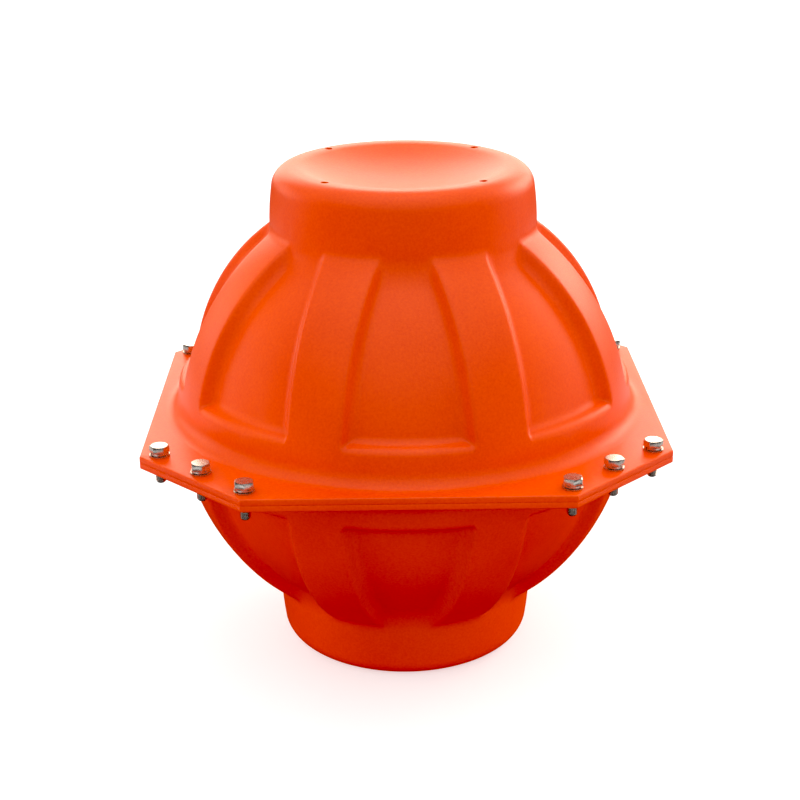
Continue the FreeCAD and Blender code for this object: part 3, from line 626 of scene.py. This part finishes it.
# %% One bolt
FLATS, HEAD, CHAMFER = 17.0, 6.4, math.radians(30)
SHANK, CORE, PITCH, THREAD_START, BOLT_END = 4.5, 4.12, 1.5, -20.0, -31.98
bpy.ops.object.select_all(action="DESELECT")
bpy.ops.mesh.primitive_cylinder_add(vertices=6, radius=FLATS / math.sqrt(3) * MM, depth=HEAD * MM,
                                    location=(0, 0, HEAD / 2 * MM))
bolt = bpy.context.active_object
bolt.name = "bolt"
bpy.ops.object.transform_apply(location=True, rotation=True, scale=True)
crown = 0.96 * FLATS / 2
bpy.ops.object.select_all(action="DESELECT")
bpy.ops.mesh.primitive_cone_add(vertices=96, radius1=(crown + HEAD / math.tan(CHAMFER)) * MM,
                                radius2=crown * MM, depth=HEAD * MM, location=(0, 0, HEAD / 2 * MM))
cut(bolt, bpy.context.active_object, "INTERSECT")
take(bolt)
rounding = bolt.modifiers.new("rounding", "BEVEL")
rounding.width = 0.25 * MM
rounding.segments = 2
rounding.angle_limit = math.radians(40)
bpy.ops.object.modifier_apply(modifier=rounding.name)

shank = turn("shank", [(0, 0.2), (SHANK, 0.2), (SHANK, -19.2), (CORE, -19.4), (CORE, -31.2),
                       (3.9, -31.6), (3.4, BOLT_END), (0, BOLT_END)], 32)
tooth = [(3.95, -0.62), (4.97, -0.1), (4.97, 0.1), (3.95, 0.62)]
# The helix starts just below the nut and stops short of the chamfered end.
mesh = bpy.data.meshes.new("thread")
mesh.from_pydata([(x * MM, 0, (z + THREAD_START) * MM) for x, z in tooth],
                 [(0, 1), (1, 2), (2, 3), (3, 0)], [])
thread = bpy.data.objects.new("thread", mesh)
bpy.context.scene.collection.objects.link(thread)
take(thread)
helix = thread.modifiers.new("helix", "SCREW")
helix.axis = "Z"
helix.screw_offset = -PITCH * MM
helix.iterations = 7
helix.steps = 32
helix.render_steps = 32
bpy.ops.object.modifier_apply(modifier=helix.name)
clean(thread)
bpy.ops.object.select_all(action="DESELECT")
for part in (bolt, shank, thread):
    part.select_set(True)
bpy.context.view_layer.objects.active = bolt
bpy.ops.object.join()
print("bolt", len(bolt.data.polygons), "faces")

# %% [markdown]
# ## Washers and press nut
#
# Under each head lie a split spring washer, which keeps the bolt tight as the plastic
# creeps, and a wide flat washer, which spreads the load. Below, a round press nut holds
# the thread: its barrel sits in the flange and its thin collar lies against it. All
# three are punched or turned, so they are spun, with their edges broken in the section.
# The spring washer is spun 8 degrees short of a full turn, which leaves its slit.

# %% Washers and press nut
washer = turn("washer", [(5.25, 0.15), (5.4, 0), (9.85, 0), (10, 0.15), (10, 1.6), (9.7, 2),
                         (5.4, 2), (5.25, 1.85)], 72, closed=True)
spring = turn("spring_washer", [(5.25, 0.15), (5.4, 0), (8.85, 0), (9, 0.15), (9, 2.05),
                                (8.85, 2.2), (5.4, 2.2), (5.25, 2.05)],
              70, closed=True, degrees=352.0)
press_nut = turn("press_nut", [(4.6, -1.8), (4.8, -2), (8.7, -2), (9, -1.7), (9, 0), (7, 0),
                               (7, 5.8), (6.8, 6), (4.8, 6), (4.6, 5.8)], 48, closed=True)
for part in (washer, spring, press_nut):
    print(part.name, len(part.data.polygons), "faces")

# %% [markdown]
# ## Twelve of each
#
# The stack under each head is a spring washer on a flat washer. No two heads were
# tightened to the same turn, so each bolt and each slit gets its own. Instances would be
# lighter, but then the twelve could not be told apart or taken off one by one.

# %% Place the fasteners
HEAD_TURNS = [10, 35, 52, 5, 28, 44, 30, 12, 3, 57, 18, 30]
CORNERS = ("right_back", "left_back", "left_front", "right_front")
WASHER, SPRING_WASHER = 2.0, 2.2
PATTERNS = ((bolt, "bolt", FLANGE + WASHER + SPRING_WASHER),
            (spring, "spring_washer", FLANGE + WASHER),
            (washer, "washer", FLANGE),
            (press_nut, "press_nut", -FLANGE))
for pattern, name, above_seam in PATTERNS:
    for number, spot in enumerate(bolt_places):
        corner = CORNERS[number // 3]
        # Seven times the turn of the bolt spreads the slits over the whole circle.
        twist = math.radians(HEAD_TURNS[number] * (1 if pattern is bolt else 7))
        twin = copy_of(pattern, f"{name}_{number + 1:02d}", Matrix.Rotation(twist, 3, "Z"),
                       Vector((spot.x, spot.y, SEAM + above_seam * MM)))
        keep(twin, f"{name}s_{corner}", steel, 30.0)
    bpy.data.objects.remove(pattern)
print("fasteners", len(PATTERNS) * len(bolt_places))

# %% [markdown]
# ## Dress the sphere
#
# The two glass halves, the sealing band and the tape are plain turned shapes, and the
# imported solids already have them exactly. Modelling them again would add nothing, so
# they keep their shapes and get their finishes.

# %% Give the inner nodes their materials
for name, finish in (("glass_upper_half", glass), ("glass_lower_half", glass),
                     ("seal_band", butyl), ("tape_band", tape)):
    dress(nodes[name], finish)
    print(name, "gets", finish.name)

# %% [markdown]
# ## Floor
#
# The photograph shows the float on pure white, with almost no shadow. Product
# photographers use a sheet of white acrylic lit from below for that. A plain white floor
# under lamps would turn grey round the float and throw white light up at it. So the
# sheet glows by itself just enough to stay white, and it is left out of what the float
# mirrors and of the light that bounces on it. Only a faint shadow stays.

# %% Floor
bpy.ops.object.select_all(action="DESELECT")
bpy.ops.mesh.primitive_plane_add(size=120, location=(0, 0, 0))
floor = bpy.context.active_object
floor.name = "floor"
floor.visible_glossy = False
floor.visible_diffuse = False
# Cast acrylic is a little cloudy, in patches of about 25 mm.
CAST_SIZE = 25.0
acrylic, place = new_material("white_acrylic_light_table")
haze = add(acrylic, "TexNoise", {"Vector": place, "Scale": blobs(CAST_SIZE), "Detail": 3.0})
white = add(acrylic, "ValToRGB", {"Fac": haze.outputs["Fac"]})
white.color_ramp.elements[0].color = colour("C3C2C0")
white.color_ramp.elements[1].color = colour("C6C5C3")
sheet = add(acrylic, "BsdfPrincipled", {
    "Base Color": white.outputs["Color"], "Roughness": 0.9,
    "Emission Color": colour("FFFFFF"), "Emission Strength": 0.56})
dress(floor, finish_material(acrylic, sheet))

# %% [markdown]
# ## World
#
# Daylight comes from all round, a little stronger from above and behind. One even colour
# would do that, but it lights the underside as much as the top, and the white of it,
# mirrored in the plastic, washes the orange out to pink. So the strength falls from the
# sky to the ground, the light from below the horizon is warm, as if it had bounced off
# the float's own flange, and the world is not seen in reflections.

# %% World
world = bpy.data.worlds.new("soft_daylight")
bpy.context.scene.world = world
world.use_nodes = True
world.cycles_visibility.glossy = False
world.node_tree.nodes.clear()
toward = add(world, "SeparateXYZ", {"Vector": add(world, "TexCoord").outputs["Generated"]})
above = add(world, "MapRange", {"Value": toward.outputs["Z"], "From Min": -0.3, "From Max": -0.03})
tint = add(world, "Mix", {"Factor": above.outputs["Result"], "A": colour("FF5C3C"),
                          "B": colour("FFFFFF")}, data_type="RGBA")
lift = add(world, "Math", {0: toward.outputs["Y"], 1: 0.35, 2: toward.outputs["Z"]},
           operation="MULTIPLY_ADD")
brightness = add(world, "MapRange", {
    "Value": lift.outputs["Value"], "From Min": -0.6, "From Max": 0.4,
    "To Min": 0.59, "To Max": 0.89})
sky = add(world, "Background", {
    "Color": tint.outputs["Result"], "Strength": brightness.outputs["Result"]})
add(world, "OutputWorld", {"Surface": sky.outputs["Background"]})
print("world", world.name, len(world.node_tree.nodes), "nodes")

# %% [markdown]
# ## Lamps
#
# A photographer lights a satin thing twice: large soft boxes give the colour, and a few
# cards are placed only for what the surface mirrors. One lamp can't do both well, because
# a card bright enough to mirror would also bleach the colour. Cycles lets each lamp be
# one or the other. The ceiling, the front fill and the side tables give soft light and
# no reflection, and so do two low lamps that reach in under the flange. The sky behind,
# the cards at the back sides and overhead and the strips on the floor are only mirrored.
# They draw the pale dish and flange, the sides of the neck, and the bright tops and ends
# of the bolts.

# %% Lamps
middle = Vector((0, 0, SEAM))


def add_softbox(name, location, target, width, height, power, tint="FFFFFF", diffuse=True,
                glossy=True):
    """A rectangular lamp, which may only light the float or only be mirrored in it."""
    lamp = bpy.data.lights.new(name, "AREA")
    lamp.shape = "RECTANGLE"
    lamp.size = width
    lamp.size_y = height
    lamp.energy = power
    lamp.color = colour(tint)[:3]
    box = bpy.data.objects.new(name, lamp)
    bpy.context.scene.collection.objects.link(box)
    box.location = location
    box.visible_diffuse = diffuse
    box.visible_glossy = glossy
    box.visible_camera = False
    aim = Vector(target) - Vector(location)
    box.rotation_euler = aim.to_track_quat("-Z", "Y").to_euler()
    return box


add_softbox("ceiling", (0.0, 1.0, 4.0), (0, 0.8, 0), 9.0, 9.0, 195, glossy=False)
add_softbox("back_sky", (0.0, 6.0, 2.4), (0, 0, 1.4), 7.2, 4.4, 360, "FFEEDA", diffuse=False)
add_softbox("front_fill", (0.0, -5.0, 2.6), middle, 6.0, 4.0, 20, glossy=False)
add_softbox("right_window", (2.6, 2.2, 1.7), middle, 1.6, 1.4, 40, "FFEEDA")
add_softbox("overhead", (0.0, 0.2, 3.2), middle, 1.6, 1.6, 5, diffuse=False)
for name, x, y in (("front", 0, -1), ("right", 1, 0), ("back", 0, 1), ("left", -1, 0)):
    width, depth = (2.4, 0.9) if x == 0 else (0.9, 2.4)
    strip = add_softbox(name + "_glint", (x * 1.05, y * 1.05, 0.002), (0, 0, 1), width, depth, 4,
                        diffuse=False)
    strip.rotation_euler = (math.pi, 0, 0)
for side, where in ((-1, "left"), (1, "right")):
    add_softbox(where + "_table", (side * 2.4, 0.5, 0.5), (0, 0, 0.2), 2.0, 0.8, 12, glossy=False)
    add_softbox(where + "_low", (side * 0.9, -0.05, 0.09), (0, 0, 0.14), 0.7, 0.12, 1.1,
                glossy=False)
    add_softbox(where + "_back", (side * 5.0, 3.4, 1.5), middle, 3.0, 2.6, 45, "FFEEDA",
                diffuse=False)
print(len(bpy.data.lights), "lamps")

# %% [markdown]
# ## Camera
#
# The camera could be moved by eye until the picture looks right. It is steadier to mark
# some points of the photograph, such as the corners of the flange and the ends of the
# neck, and to solve for the one camera that sees the model's points there. That gives
# the numbers below: about 1.74 m away and 21 degrees above the middle of the float, with
# a small turn and roll. The Standard view keeps the plastic's colour, and a black level
# just above zero gives the photograph's deep, saturated shadows.

# %% Camera
DISTANCE = 1.74069
ELEVATION = math.radians(20.97)
YAW = math.radians(0.88)
ROLL = math.radians(-0.35)
LENS_PIXELS = 1647.72
SHIFT_PIXELS = (4.23, 2.81)
FRAME_PIXELS = 800

eye = bpy.data.cameras.new("camera")
eye.sensor_width = 36
eye.lens = LENS_PIXELS / FRAME_PIXELS * eye.sensor_width
eye.shift_x = -SHIFT_PIXELS[0] / FRAME_PIXELS
eye.shift_y = SHIFT_PIXELS[1] / FRAME_PIXELS
eye.clip_start = 0.05
eye.clip_end = 50
camera = bpy.data.objects.new("camera", eye)
bpy.context.scene.collection.objects.link(camera)
back = Vector((0, -math.cos(ELEVATION), math.sin(ELEVATION)))
back = Matrix.Rotation(-YAW, 3, "Z") @ back
camera.location = middle + back * DISTANCE
aim = (-back).to_track_quat("-Z", "Y").to_matrix()
camera.rotation_euler = (aim @ Matrix.Rotation(ROLL, 3, "Z")).to_euler()
bpy.context.scene.camera = camera
view = bpy.context.scene.view_settings
view.view_transform = "Standard"
view.use_curve_mapping = True
view.curve_mapping.black_level = (0.024, 0.024, 0.024)
view.curve_mapping.update()
print("camera at", [round(value, 3) for value in camera.location], "lens", round(eye.lens, 1))
